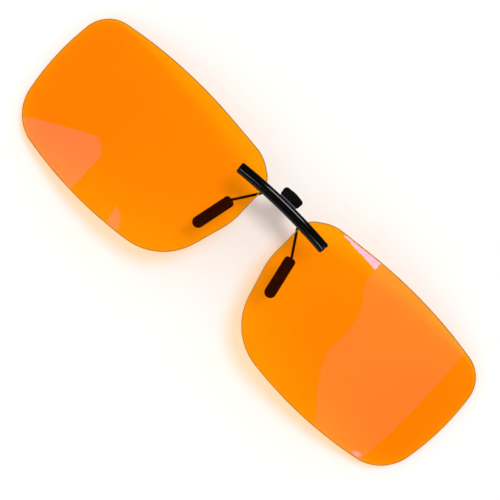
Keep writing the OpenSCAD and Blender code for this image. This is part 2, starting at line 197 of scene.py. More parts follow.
def add_object(name: str, data: bpy.types.ID) -> Object:
    """Adds an object to the scene.

    Args:
        name: Its name.
        data: Its mesh, camera or lamp.

    Returns:
        The new object.
    """
    obj = bpy.data.objects.new(name, data)
    bpy.context.scene.collection.objects.link(obj)
    return obj


def to_object(bm: Mesh, name: str) -> Object:
    """Scales a mesh to metres, shades it smooth and makes it an object at the origin.

    Args:
        bm: The mesh, in millimetres.
        name: Name of the object.

    Returns:
        The new object.
    """
    bmesh.ops.scale(bm, vec=(MM, MM, MM), verts=bm.verts[:])
    for face in bm.faces:
        face.smooth = True
    mesh = bpy.data.meshes.new(name)
    bm.to_mesh(mesh)
    bm.free()
    return add_object(name, mesh)


def finish_mesh(bm: Mesh, name: str, place: Matrix | None = None, rod: bool = False) -> Object:
    """Turns a mesh in millimetres into a piece in metres, at the origin.

    Args:
        bm: The finished mesh.
        name: Name of the piece.
        place: Where the mesh goes, in millimetres.
        rod: Whether it is a rod, which has sharp ends and needs no evened shading.

    Returns:
        The new object.
    """
    bmesh.ops.remove_doubles(bm, verts=bm.verts[:], dist=WELD_DIST)
    if place is not None:
        bmesh.ops.transform(bm, matrix=place, verts=bm.verts[:])
    bmesh.ops.recalc_face_normals(bm, faces=bm.faces[:])
    obj = to_object(bm, name)
    if rod:
        obj.data.set_sharp_from_angle(angle=math.radians(SHARP_OVER))
    else:
        modifier = obj.modifiers.new("even_shading", "WEIGHTED_NORMAL")
        modifier.weight = FACE_WEIGHT
        modifier.keep_sharp = True
    return obj


def boundary_edges(faces: Iterable[Face]) -> list[Edge]:
    """Finds the edges round a set of faces.

    Args:
        faces: The faces.

    Returns:
        The edges that only one of them uses.
    """
    counts: dict[Edge, int] = {}
    for face in faces:
        for edge in face.edges:
            counts[edge] = counts.get(edge, 0) + 1
    return [edge for edge, uses in counts.items() if uses == 1]


def round_off(
    bm: Mesh, geom: Sequence[Edge | Vert], size: float, segments: int, affect: str = "EDGES"
) -> list[Face]:
    """Bevels edges or corners round.

    Args:
        bm: The mesh.
        geom: The edges or points to round.
        size: Width of the rounding.
        segments: Number of strips.
        affect: EDGES or VERTICES.

    Returns:
        The faces of the rounding.
    """
    made = bmesh.ops.bevel(
        bm, geom=geom, offset=size, offset_type="OFFSET", segments=segments, profile=0.5, affect=affect,
        clamp_overlap=True, material=-1,
    )
    return made["faces"]


@dataclass
class RoundRod:
    """A rod that grows along straight runs and bends, in a plane across its bending axis."""

    bm: Mesh
    start: Vector
    heading: Vector
    radius: float
    sides: int = 20
    steps_per_quarter: int = 10

    def __post_init__(self) -> None:
        """Draws the rod's first end."""
        turn = self.heading.to_track_quat("Z", "Y").to_matrix().to_4x4()
        place = Matrix.Translation(self.start) @ turn
        made = bmesh.ops.create_circle(
            self.bm, cap_ends=True, radius=self.radius, segments=self.sides, matrix=place
        )
        self.tip = self.start.copy()
        self.end: list[Edge] = edges_at(made["verts"])

    def run(self, length: float) -> None:
        """Goes straight ahead.

        Args:
            length: How far.
        """
        made = bmesh.ops.extrude_edge_only(self.bm, edges=self.end)
        verts = only(made["geom"], Vert)
        step = self.heading * length
        bmesh.ops.translate(self.bm, vec=step, verts=verts)
        self.tip += step
        self.end = [e for e in only(made["geom"], Edge) if all(v in verts for v in e.verts)]

    def bend(self, axis: Vector, degrees: float, radius: float) -> None:
        """Turns about an axis.

        Args:
            axis: Axis of the bend, square to the rod.
            degrees: Angle of the bend, right-handed about the axis.
            radius: Bend radius at the rod's middle.
        """
        sense = 1 if degrees > 0 else -1
        centre = self.tip + axis.cross(self.heading) * radius * sense
        steps = max(2, round(abs(degrees) / 90 * self.steps_per_quarter))
        angle = math.radians(degrees)
        made = bmesh.ops.spin(
            self.bm, geom=self.end, cent=centre, axis=axis, angle=angle, steps=steps, use_duplicate=False
        )
        self.end = only(made["geom_last"], Edge)
        turn = Matrix.Rotation(angle, 3, axis)
        self.tip = centre + turn @ (self.tip - centre)
        self.heading = (turn @ self.heading).normalized()

    def close(self) -> None:
        """Fills the rod's last end."""
        bmesh.ops.edgeloop_fill(self.bm, edges=self.end)


@dataclass(frozen=True)
class BentLine:
    """A line in the X-Z plane with rounded corners, turned into the moves of a rod."""

    points: Sequence[Triple]

    def draw(self, bm: Mesh, y: float, radius: float) -> None:
        """Draws a rod along the line.

        Args:
            bm: The mesh to draw in.
            y: Depth of the line.
            radius: Radius of the rod.
        """
        line = [Vector((x, y, z)) for x, z, _ in self.points]
        bends = [r for _, _, r in self.points]
        rod = RoundRod(bm, line[0], (line[1] - line[0]).normalized(), radius)
        taken = 0.0
        for i in range(1, len(line)):
            leg = line[i] - line[i - 1]
            if i == len(line) - 1:
                rod.run(leg.length - taken)
                break
            after = (line[i + 1] - line[i]).normalized()
            turn = leg.normalized().angle(after)
            take = bends[i] * math.tan(turn / 2)
            rod.run(leg.length - taken - take)
            sense = 1.0 if leg.cross(after).y > 0 else -1.0
            rod.bend(BACK, sense * math.degrees(turn), bends[i])
            taken = take
        rod.close()


# Shader node groups and finishes


def feed(tree: Tree, node: Node, inputs: Inputs) -> None:
    """Links sockets to inputs of a node, or gives the inputs plain values.

    Args:
        tree: The node tree.
        node: The node.
        inputs: The sockets and values, by the names or places of the inputs.
    """
    for name, value in inputs.items():
        if isinstance(value, Socket):
            tree.links.new(value, node.inputs[name])
        else:
            node.inputs[name].default_value = value


def add_node(tree: Tree, kind: str, inputs: Inputs) -> Node:
    """Adds a shader node.

    Args:
        tree: The node tree.
        kind: Its type.
        inputs: The sockets and values of its inputs.

    Returns:
        The node.
    """
    node = tree.nodes.new(kind)
    feed(tree, node, inputs)
    return node


def math_node(tree: Tree, operation: str, *values: float | Socket) -> Socket:
    """Adds a Math node.

    Args:
        tree: The node tree.
        operation: What it does.
        values: Its inputs in order.

    Returns:
        The result.
    """
    node = add_node(tree, "ShaderNodeMath", dict(enumerate(values)))
    node.operation = operation
    return node.outputs[0]


def ranged(
    tree: Tree, value: Socket, span: tuple[float, float], out: tuple[float | Socket, float | Socket]
) -> Socket:
    """Maps a value from one span to another, clamped.

    Args:
        tree: The node tree.
        value: The value.
        span: Lowest and highest input.
        out: What the two ends become, as numbers or sockets.

    Returns:
        The mapped value.
    """
    ends = {"From Min": span[0], "From Max": span[1], "To Min": out[0], "To Max": out[1]}
    return add_node(tree, "ShaderNodeMapRange", {"Value": value, **ends}).outputs["Result"]


def mixed(tree: Tree, factor: Socket, a: Triple, b: Triple) -> Socket:
    """Mixes two colours by a factor.

    Args:
        tree: The node tree.
        factor: 0 gives the first colour and 1 the second.
        a: First colour.
        b: Second colour.

    Returns:
        The mixed colour.
    """
    node = add_node(tree, "ShaderNodeMix", {"Factor": factor})
    node.data_type = "RGBA"
    for end, colour in zip([s for s in node.inputs if s.type == "RGBA"], (a, b)):
        end.default_value = (*colour, 1.0)
    return next(s for s in node.outputs if s.type == "RGBA")


def straight_through(tree: Tree, path: Node) -> Socket:
    """Tells the rays that have only passed through the lenses.

    Args:
        tree: The node tree.
        path: Its Light Path node.

    Returns:
        1 for a transmitted ray that has bounced off nothing, otherwise 0.
    """
    through = path.outputs["Is Transmission Ray"]
    for depth in ("Diffuse Depth", "Glossy Depth"):
        never = math_node(tree, "LESS_THAN", path.outputs[depth], 0.5)
        through = math_node(tree, "MULTIPLY", through, never)
    return through


def empty_material(name: str) -> tuple[Material, Tree]:
    """Makes a material without nodes.

    Args:
        name: Its name.

    Returns:
        The material and its node tree.
    """
    material = bpy.data.materials.new(name)
    material.use_nodes = True
    material.node_tree.nodes.clear()
    return material, material.node_tree


@dataclass(frozen=True)
class SurfaceGroup:
    """Node group for the grain and the handling marks that every finish has, each at its own scale."""

    name: str = "grain_and_marks"

    def tree(self) -> Tree:
        """Builds the group once.

        Returns:
            The node group, with the outputs Grain and Marks.
        """
        if self.name in bpy.data.node_groups:
            return bpy.data.node_groups[self.name]
        group = bpy.data.node_groups.new(self.name, "ShaderNodeTree")
        for name, way, kind in (
            ("Grain Scale", "INPUT", "Float"),
            ("Marks Scale", "INPUT", "Float"),
            ("Stretch", "INPUT", "Vector"),
            ("Grain", "OUTPUT", "Float"),
            ("Marks", "OUTPUT", "Float"),
        ):
            group.interface.new_socket(name=name, in_out=way, socket_type=f"NodeSocket{kind}")
        start = group.nodes.new("NodeGroupInput").outputs
        end = group.nodes.new("NodeGroupOutput")
        place = add_node(group, "ShaderNodeTexCoord", {}).outputs["Object"]
        stretched = add_node(group, "ShaderNodeVectorMath", {0: place, 1: start["Stretch"]})
        stretched.operation = "MULTIPLY"
        for name, where, detail, span in (
            ("Grain", stretched.outputs[0], 3.0, (0.3, 0.7)),
            ("Marks", place, 4.0, (0.35, 0.7)),
        ):
            inputs = {"Vector": where, "Scale": start[f"{name} Scale"], "Detail": detail}
            cloud = add_node(group, "ShaderNodeTexNoise", inputs).outputs["Fac"]
            feed(group, end, {name: ranged(group, cloud, span, (0.0, 1.0))})
        return group

    def place(self, tree: Tree, finish: "Finish") -> tuple[Socket, Socket]:
        """Puts the group into a material.

        Args:
            tree: The material's node tree.
            finish: The finish, which gives the scales and the stretch of the grain.

        Returns:
            The grain and the marks.
        """
        node = tree.nodes.new("ShaderNodeGroup")
        node.node_tree = self.tree()
        scales = {"Grain Scale": finish.grain, "Marks Scale": finish.marks, "Stretch": finish.stretch}
        feed(tree, node, scales)
        return node.outputs["Grain"], node.outputs["Marks"]


@dataclass(frozen=True)
class Finish:
    """A surface finish: a colour that varies with its marks, a roughness range and a raised grain."""

    name: str
    colour: Triple
    worn: Triple
    roughness: tuple[float, float]
    grain: float
    marks: float
    depth: float
    stretch: Triple = (1.0, 1.0, 1.0)
    relief: float = 0.6
    metallic: float = 0.0
    specular: float = 0.5
    coat: float = 0.0
    coat_roughness: float = 0.1
    subsurface: float = 0.0
    soak: float = 0.3

    def principled(self, material: Material) -> Node:
        """The material's Principled shader."""
        return next(n for n in material.node_tree.nodes if n.type == "BSDF_PRINCIPLED")

    def make(self) -> Material:
        """Builds the material once.

        Returns:
            The material.
        """
        title = f"{self.name}_finish"
        if title in bpy.data.materials:
            return bpy.data.materials[title]
        material = bpy.data.materials.new(title)
        material.use_nodes = True
        tree = material.node_tree
        shader = self.principled(material)
        grain, marks = SurfaceGroup().place(tree, self)
        inputs = {
            "Base Color": mixed(tree, marks, self.colour, self.worn),
            "Roughness": ranged(tree, marks, (0.0, 1.0), self.roughness),
            "Metallic": self.metallic,
            "Specular IOR Level": self.specular,
            "Coat Weight": self.coat,
            "Coat Roughness": self.coat_roughness,
            "Subsurface Weight": self.subsurface,
        }
        if self.subsurface:
            inputs |= {"Subsurface Radius": (MM, MM, MM), "Subsurface Scale": self.soak}
        bump = {"Strength": self.relief, "Distance": self.depth * MM, "Height": grain}
        feed(tree, shader, {**inputs, "Normal": add_node(tree, "ShaderNodeBump", bump).outputs["Normal"]})
        return material


@dataclass(frozen=True)
class AmberFinish(Finish):
    """Dyed lens plastic with a violet hard coating, clear to the light that passes through."""

    passing: Triple = (0.99, 0.7, 0.18)
    glint: Triple = (0.75, 0.45, 1.0)
    index: float = 1.5
    clearness: float = 1.0

    def make(self) -> Material:
        """Builds the lens material once.

        Returns:
            The material.
        """
        fresh = f"{self.name}_finish" not in bpy.data.materials
        material = super().make()
        if not fresh:
            return material
        tree = material.node_tree
        shader = self.principled(material)
        feed(tree, shader, {"Transmission Weight": self.clearness, "IOR": self.index})
        feed(tree, shader, {"Specular Tint": (*self.glint, 1.0)})
        clear = add_node(tree, "ShaderNodeBsdfTransparent", {"Color": (*self.passing, 1.0)})
        shadow = add_node(tree, "ShaderNodeLightPath", {}).outputs["Is Shadow Ray"]
        mix = add_node(tree, "ShaderNodeMixShader", {0: shadow, 1: shader.outputs[0], 2: clear.outputs[0]})
        out = next(n for n in tree.nodes if n.type == "OUTPUT_MATERIAL")
        feed(tree, out, {"Surface": mix.outputs[0]})
        return material


class Finishes:
    """Every finish of the glasses."""

    LENS = AmberFinish(
        name="amber_lens", colour=(1.0, 0.356, 0.001), worn=(1.0, 0.376, 0.002), roughness=(0.0, 0.012),
        specular=0.25, grain=900.0, marks=35.0, depth=0.0002,
    )
    # Painted shade: the rim's darker, less clear olive stands in for the dark line that internal reflection
    # draws at the polished edge
    RIM = AmberFinish(
        name="lens_rim_painted_shade", colour=(0.48, 0.21, 0.02), worn=(0.55, 0.26, 0.03), roughness=(0.28, 0.4),
        specular=0.25, grain=2500.0, marks=300.0, depth=0.004, passing=(0.92, 0.55, 0.1),
        glint=(0.4, 0.4, 0.4), clearness=0.3,
    )
    BAR = Finish(
        name="black_gloss", colour=(0.0015, 0.0015, 0.0015), worn=(0.003, 0.003, 0.003),
        roughness=(0.13, 0.2), specular=0.0, coat=0.8, coat_roughness=0.05, grain=5200.0, marks=240.0,
        depth=0.0012,
    )
    WIRE = Finish(
        name="wire_black", colour=(0.005, 0.004, 0.004), worn=(0.016, 0.012, 0.011), roughness=(0.3, 0.48),
        specular=0.35, grain=6500.0, marks=420.0, depth=0.004,
    )
    GRIP = Finish(
        name="black_matte", colour=(0.003, 0.003, 0.003), worn=(0.007, 0.007, 0.007), roughness=(0.6, 0.75),
        specular=0.03, grain=7800.0, marks=320.0, depth=0.02,
    )
    RUBBER = Finish(
        name="silicone", colour=(0.014, 0.014, 0.012), worn=(0.025, 0.024, 0.021), roughness=(0.62, 0.78),
        specular=0.12, grain=6200.0, marks=260.0, depth=0.012,
    )
    STEEL = Finish(
        name="steel", colour=(0.62, 0.61, 0.59), worn=(0.48, 0.47, 0.45), roughness=(0.18, 0.36),
        metallic=1.0, grain=5200.0, marks=500.0, stretch=(1.0, 0.15, 1.0), depth=0.004,
    )
    DARK_METAL = Finish(
        name="dark_metal", colour=(0.06, 0.06, 0.065), worn=(0.13, 0.13, 0.135), roughness=(0.28, 0.46),
        metallic=0.9, grain=4200.0, marks=380.0, stretch=(0.2, 1.0, 1.0), depth=0.005,
    )
    SPRING = Finish(
        name="spring_steel", colour=(0.42, 0.41, 0.40), worn=(0.30, 0.28, 0.26), roughness=(0.2, 0.34),
        metallic=1.0, grain=7000.0, marks=620.0, stretch=(0.25, 1.0, 1.0), depth=0.003,
    )
    NYLON = Finish(
        name="nylon", colour=(0.70, 0.66, 0.56), worn=(0.60, 0.55, 0.44), roughness=(0.38, 0.52),
        grain=5200.0, marks=420.0, depth=0.004, subsurface=0.15,
    )


def dress_node(node: str, finish: Finish) -> None:
    """Gives a CAD node's object a finish.

    Args:
        node: Name of the node.
        finish: The finish.
    """
    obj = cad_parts[node]
    material = finish.make()
    if not obj.material_slots:
        obj.data.materials.append(material)
    for slot in obj.material_slots:
        slot.material = material
    LOG.info("%s keeps its solid and gets %s", node, finish.name)


def settle(obj: Object, node: str, body: Body | None, finishes: Sequence[Finish]) -> None:
    """Puts a piece on its body, in the place of its node.

    Args:
        obj: The piece.
        node: The node that it stands for.
        body: The body that carries it, or None where the piece bends between two bodies.
        finishes: Its materials, in the order of the mesh's material numbers.
    """
    for finish in finishes:
        obj.data.materials.append(finish.make())
    if body is not None:
        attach(obj, body.value)
    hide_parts(node)
    LOG.info("%s stands for %s with %d faces", obj.name, node, len(obj.data.polygons))


# Sub-assemblies


@dataclass(frozen=True)
class Corner:
    """A corner of a flat outline and the radius of its rounding."""

    x: float
    z: float
    r: float

    @property
    def at(self) -> Vector:
        """The corner's place in the X-Z plane."""
        return Vector((self.x, 0, self.z))


@dataclass(frozen=True)
class RoundedOutline:
    """A flat outline of rounded corners, in the X-Z plane; where two roundings would meet, both shrink."""

    corners: Sequence[Corner]
    steps: int = 18
    edge_share: float = 0.995

    def draw(self, bm: Mesh) -> Face:
        """Draws the outline with one spun arc per corner.

        Args:
            bm: The mesh to draw in.

        Returns:
            The face inside the outline.
        """
        points = [c.at for c in self.corners]
        count = len(points)
        before = [(points[i - 1] - points[i]).normalized() for i in range(count)]
        after = [(points[(i + 1) % count] - points[i]).normalized() for i in range(count)]
        half = [before[i].angle(after[i]) / 2 for i in range(count)]
        take = [self.corners[i].r / math.tan(half[i]) for i in range(count)]
        edge = [(points[(i + 1) % count] - points[i]).length for i in range(count)]
        room = [self.edge_share * edge[i] / (take[i] + take[(i + 1) % count]) for i in range(count)]
        arcs = []
        for i, corner in enumerate(self.corners):
            radius = corner.r * min(1.0, room[i], room[i - 1])
            centre = points[i] + (before[i] + after[i]).normalized() * radius / math.sin(half[i])
            start = points[i] + before[i] * radius / math.tan(half[i])
            sense = 1.0 if before[i].cross(after[i]).y > 0 else -1.0
            angle = -sense * (math.pi - 2 * half[i])
            arcs.append(spin_point(bm, start, centre, BACK, angle, self.steps))
        return arcs_to_face(bm, arcs)

    def plate(self, thickness: float, soft: float, segments: int) -> Mesh:
        """Models a plate of this outline, centred on Y 0, with rounded rims.

        Args:
            thickness: Thickness along Y.
            soft: Width of the rounding.
            segments: Number of strips in it.

        Returns:
            The closed plate.
        """
        bm = bmesh.new()
        face = self.draw(bm)
        bmesh.ops.translate(bm, vec=BACK * (-thickness / 2), verts=bm.verts[:])
        made = bmesh.ops.extrude_face_region(bm, geom=[face])
        bmesh.ops.translate(bm, vec=BACK * thickness, verts=only(made["geom"], Vert))
        bm.normal_update()
        flats = [f for f in bm.faces if len(f.verts) > 4]
        round_off(bm, boundary_edges(flats), soft, segments)
        return bm


@dataclass
class Lens:
    """One rimless lens: a curved amber plate with two holes and a softly polished edge."""

    side: Side
    width: float = 61.6
    height: float = 41.1
    gap: float = 12.9
    rise: float = 7.0
    radius: float = 200.0
    apex_x: float = 12.0
    polish: float = 0.16
    polish_steps: int = 3
    edge_band: float = 0.3
    edge_tilt: float = 0.5
    studs: tuple[tuple[float, float], ...] = ((8.9, 13.244), (12.6, 12.986))
    hole_r: float = 1.0
    hole_sides: int = 24
    hole_room: float = 1.5
    hole_clear: float = 0.5
    grid: float = 2.6
    grid_from: tuple[float, float] = (0.8, 1.2)

    def outline(self) -> RoundedOutline:
        """The lens's outline, seen from the front on the right-hand side."""
        inner = self.gap / 2
        outer = inner + self.width
        top = BAR_Z + self.rise
        low = top - self.height
        return RoundedOutline(
            (
                Corner(inner + 0.1, BAR_Z + 1.5, 4.8),
                Corner(inner - 0.05, BAR_Z - 12.0, 17.9),
                Corner(inner + 5.8, low + 2.0, 15.8),
                Corner(inner + 32.6, low - 1.47, 112.0),
                Corner(outer - 2.6, low + 2.7, 11.8),
                Corner(outer + 0.595, BAR_Z - 12.0, 69.0),
                Corner(outer - 1.4, top - 2.5, 8.6),
                Corner(inner + 35.8, top + 1.49, 137.0),
                Corner(inner + 5.7, top - 1.5, 11.0),
            )
        )

    def depth(self, x: float, z: float, shell: float) -> float:
        """Depth of a lens face.

        Args:
            x: Distance from the middle plane.
            z: Height.
            shell: 0 on the front face, and the thickness on the back face.

        Returns:
            The place along Y.
        """
        centre = -JAW_GAP / 2 - LENS_T + self.radius
        reach = self.radius - shell
        return centre - math.sqrt(reach**2 - (x - self.apex_x) ** 2 - z**2)

    def slice_up(self, bm: Mesh) -> None:
        """Cuts the flat outline into a grid that can take the lens's curve, with a square at each stud.

        Args:
            bm: The mesh that holds the outline.
        """
        first_x, first_z = self.grid_from
        for i in range(int(self.width / self.grid)):
            cut(bm, ACROSS * (self.gap / 2 + first_x + i * self.grid), ACROSS)
        for i in range(int(self.height / self.grid)):
            z = BAR_Z + self.rise - first_z - i * self.grid
            if all(abs(z - hole_z) > self.hole_room + self.hole_clear for _, hole_z in self.studs):
                cut(bm, UP * z, UP)
        for x, z in self.studs:
            for step in (-self.hole_room, self.hole_room):
                cut(bm, ACROSS * (x + step), ACROSS)
                cut(bm, UP * (z + step), UP)

    def drill(self, bm: Mesh) -> None:
        """Opens a round hole at each stud: a square of faces comes out and a ring goes in.

        Args:
            bm: The sliced outline.
        """
        turn = Matrix.Rotation(math.radians(90), 4, "X")
        for x, z in self.studs:
            inside = []
            for face in bm.faces:
                middle = face.calc_center_median()
                if max(abs(middle.x - x), abs(middle.z - z)) < self.hole_room:
                    inside.append(face)
            square = boundary_edges(inside)
            bmesh.ops.delete(bm, geom=inside, context="FACES")
            place = Matrix.Translation((x, 0, z)) @ turn
            ring = bmesh.ops.create_circle(bm, radius=self.hole_r, segments=self.hole_sides, matrix=place)
            bmesh.ops.bridge_loops(bm, edges=[*square, *edges_at(ring["verts"])])

    def mesh(self) -> Mesh:
        """Models the lens.

        Returns:
            The closed lens, its rim marked with material 1.
        """
        bm = bmesh.new()
        face = self.outline().draw(bm)
        made = bmesh.ops.inset_region(
            bm, faces=[face], thickness=self.edge_band, use_boundary=True, use_even_offset=True
        )
        for ring in made["faces"]:
            ring.material_index = 1
        self.slice_up(bm)
        self.drill(bm)
        made = bmesh.ops.extrude_face_region(bm, geom=bm.faces[:])
        back = set(only(made["geom"], Vert))
        for vert in bm.verts:
            vert.co.y = self.depth(vert.co.x, vert.co.z, LENS_T if vert in back else 0.0)
        bm.normal_update()
        rim = [f for f in bm.faces if abs(f.normal.y) < self.edge_tilt and not self.at_hole(f)]
        for face in rim:
            face.material_index = 1
        for face in round_off(bm, boundary_edges(rim), self.polish, self.polish_steps):
            face.material_index = 1
        if self.side is Side.LEFT:
            bmesh.ops.scale(bm, vec=(-1, 1, 1), verts=bm.verts[:])
        return bm

    def at_hole(self, face: Face) -> bool:
        """Whether a face belongs to the wall of a stud hole.

        Args:
            face: The face.

        Returns:
            True where it does.
        """
        middle = face.calc_center_median()
        return any(math.hypot(middle.x - x, middle.z - z) < self.hole_room for x, z in self.studs)

    def dress(self) -> None:
        """Puts the lens in the place of its node."""
        obj = finish_mesh(self.mesh(), f"{self.side.word}_lens_plate")
        finishes = (Finishes.LENS, Finishes.RIM)
        settle(obj, f"{self.side.word}_lens", Body.CARRIER, finishes)


@dataclass
class BridgeBar:
    """The slim glossy bar in front of the lenses: a domed section spun along a low arch."""

    length: float = 29.4
    height: float = 2.95
    depth: float = 1.695
    arch: float = 0.7
    dome: float = 0.75
    back_y: float = -1.512
    edge_r: float = 0.3
    end_r: float = 0.45
    tip_r: float = 0.12
    steps: int = 72
    dome_steps: int = 16
    edge_steps: int = 5
    end_rings: int = 6
    tip_steps: int = 3
    tip_corners: int = 12

    def mesh(self) -> Mesh:
        """Models the bar.

        Returns:
            The closed bar.
        """
        bm = bmesh.new()
        arch_r = (self.length**2 / 4 + self.arch**2) / (2 * self.arch)
        half_turn = math.asin(self.length / 2 / arch_r)
        centre = Vector((0, 0, BAR_Z - arch_r))
        dome_r = (self.height**2 / 4 + self.dome**2) / (2 * self.dome)
        half_dome = math.asin(self.height / 2 / dome_r)
        front = self.back_y - self.depth
        dome_centre = Vector((0, front + dome_r, BAR_Z))
        low = dome_centre + Vector((0, -dome_r * math.cos(half_dome), -self.height / 2))
        first, last = spin_point(bm, low, dome_centre, -ACROSS, 2 * half_dome, self.dome_steps)
        up = bm.verts.new((0, self.back_y, BAR_Z + self.height / 2))
        down = bm.verts.new((0, self.back_y, BAR_Z - self.height / 2))
        face = arcs_to_face(bm, [(first, last), (up, up), (down, down)])
        round_off(bm, [first, last, up, down], self.edge_r, self.edge_steps, "VERTICES")
        geom = [*bm.verts, *bm.edges, *bm.faces]
        start = Matrix.Rotation(-half_turn, 3, BACK)
        bmesh.ops.rotate(bm, cent=centre, matrix=start, verts=bm.verts[:])
        bmesh.ops.spin(
            bm, geom=geom, cent=centre, axis=BACK, angle=2 * half_turn, steps=self.steps,
            use_duplicate=False,
        )
        bm.normal_update()
        self.draw_in_ends(bm, centre, arch_r, half_turn)
        tips = [f for f in bm.faces if len(f.verts) > self.tip_corners]
        for face in tips:
            face.normal_update()
        round_off(bm, boundary_edges(tips), self.tip_r, self.tip_steps)
        bmesh.ops.dissolve_degenerate(bm, dist=EMPTY_DIST, edges=bm.edges[:])
        return bm

    def draw_in_ends(self, bm: Mesh, centre: Vector, arch_r: float, half_turn: float) -> None:
        """Rounds the bar's ends as seen from the front: the last rings get lower along a quarter circle.

        Args:
            bm: The spun bar.
            centre: Centre of its arch.
            arch_r: Radius of the arch.
            half_turn: Angle from the bar's middle to its end.
        """
        for side in (-1, 1):
            for ring in range(1, self.end_rings + 1):
                reach = self.end_r * (1 - math.sin(math.radians(90 - 90 / self.end_rings * ring)))
                angle = side * (half_turn - reach / arch_r)
                cut(bm, centre, Vector((math.cos(angle), 0, -math.sin(angle))))
        for vert in bm.verts:
            arm = Vector((vert.co.x, 0, vert.co.z)) - centre
            short = self.end_r - (half_turn - abs(math.atan2(arm.x, arm.z))) * arch_r
            if short <= 0:
                continue
            drop = self.end_r - math.sqrt(max(0.0, self.end_r**2 - short**2))
            scale = 1 - drop / (self.height / 2)
            radius = arch_r + (arm.length - arch_r) * scale
            vert.co.x = centre.x + arm.x * radius / arm.length
            vert.co.z = centre.z + arm.z * radius / arm.length

    def dress(self) -> None:
        """Puts the bar in the place of its node."""
        obj = finish_mesh(self.mesh(), "bridge_bar_gloss")
        settle(obj, "bridge_bar", Body.CARRIER, (Finishes.BAR,))


@dataclass
class LensFixings:
    """The studs, bushes, washers and nuts that hold a lens to the bar."""

    side: Side

    def dress(self) -> None:
        """Gives each group of fixings its finish."""
        for group, finish in (
            ("studs", Finishes.STEEL),
            ("bushes", Finishes.NYLON),
            ("washers", Finishes.STEEL),
            ("nuts", Finishes.STEEL),
        ):
            dress_node(f"{self.side.word}_lens_{group}", finish)


@dataclass
class TorsionSpring:
    """The spring round the axle: two legs and eight curls, each a round wire."""

    coil_r: float = 0.7
    wire_r: float = 0.14
    wire_sides: int = 12
    curls: int = 8
    curl_steps: int = 20
    length: float = 5.8
    leaf_t: float = 0.5
    leg_high: float = 1.08
    leg_low: float = 0.8
    leg_bend: float = 0.3
    leg_short: float = 0.02
    clear: float = 0.01
    plate_back: float = -1.062

    def mesh(self) -> Mesh:
        """Models the spring.

        Returns:
            The closed spring.
        """
        bm = bmesh.new()
        lean = math.radians(LEVER_LEAN)
        tip_y = AXLE_Y + self.leg_high * math.tan(lean) - self.leaf_t / 2 / math.cos(lean) - self.clear
        front_y = AXLE_Y - self.coil_r
        start = Vector((-self.length / 2, tip_y - self.leg_short, BAR_Z + self.leg_high))
        rod = RoundRod(bm, start, Vector((0, -1, 0)), self.wire_r, self.wire_sides)
        rod.run(tip_y - self.leg_short - front_y - self.leg_bend)
        rod.bend(ACROSS, 90, self.leg_bend)
        rod.run(self.leg_high - self.leg_bend)
        steps = self.curl_steps * self.curls
        made = bmesh.ops.spin(
            bm, geom=rod.end, cent=(0, AXLE_Y, BAR_Z), axis=ACROSS, dvec=(self.length / steps, 0, 0),
            angle=math.tau * self.curls, steps=steps, use_duplicate=False,
        )
        rod.end = only(made["geom_last"], Edge)
        rod.tip = Vector((self.length / 2, front_y, BAR_Z))
        rod.run(self.leg_low - self.leg_bend)
        rod.bend(ACROSS, -90, self.leg_bend)
        rod.run(abs(front_y - self.leg_bend - self.plate_back - self.clear))
        rod.close()
        return bm

    def dress(self) -> None:
        """Puts the spring in the place of its node, on neither body; in the real clip it winds as the lever
        turns one of its legs.
        """
        obj = finish_mesh(self.mesh(), "torsion_spring_wire", rod=True)
        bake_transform(obj)
        settle(obj, "torsion_spring", None, (Finishes.SPRING,))


@dataclass
class HingeHardware:
    """The bracket on the bar's back, its rivets and washers, and the spring between its ears."""

    spring: TorsionSpring = field(default_factory=TorsionSpring)

    def dress(self) -> None:
        """Gives the small parts their finish and makes the spring."""
        dress_node("hinge_bracket", Finishes.DARK_METAL)
        dress_node("bracket_rivets", Finishes.STEEL)
        dress_node("hinge_washers", Finishes.NYLON)
        self.spring.dress()


@dataclass
class ThumbGrip:
    """The matt thumb tab moulded over the end of the lever."""

    low: float = 1.95
    high: float = 4.35
    width: float = 6.3
    low_width: float = 5.7
    low_r: float = 0.2
    thickness: float = 1.7
    corner_r: float = 0.85
    crown: float = 0.3
    soft: float = 0.32
    soft_steps: int = 4
    steps: int = 8

    def mesh(self) -> Mesh:
        """Models the grip.

        Returns:
            The closed grip, in the lever's frame.
        """
        top = self.high - self.crown
        half, low_half = self.width / 2, self.low_width / 2
        corners = (
            Corner(-low_half, self.low, self.low_r),
            Corner(low_half, self.low, self.low_r),
            Corner(half, top, self.corner_r),
            Corner(0.0, self.high + self.crown / 4, self.width),
            Corner(-half, top, self.corner_r),
        )
        return RoundedOutline(corners, self.steps).plate(self.thickness, self.soft, self.soft_steps)

    def dress(self) -> None:
        """Puts the grip in the place of its node."""
        turn = Matrix.Rotation(math.radians(-LEVER_LEAN), 4, "X")
        obj = finish_mesh(self.mesh(), "thumb_grip_tab", Matrix.Translation((0, AXLE_Y, BAR_Z)) @ turn)
        settle(obj, "thumb_grip", Body.LEVER, (Finishes.GRIP,))


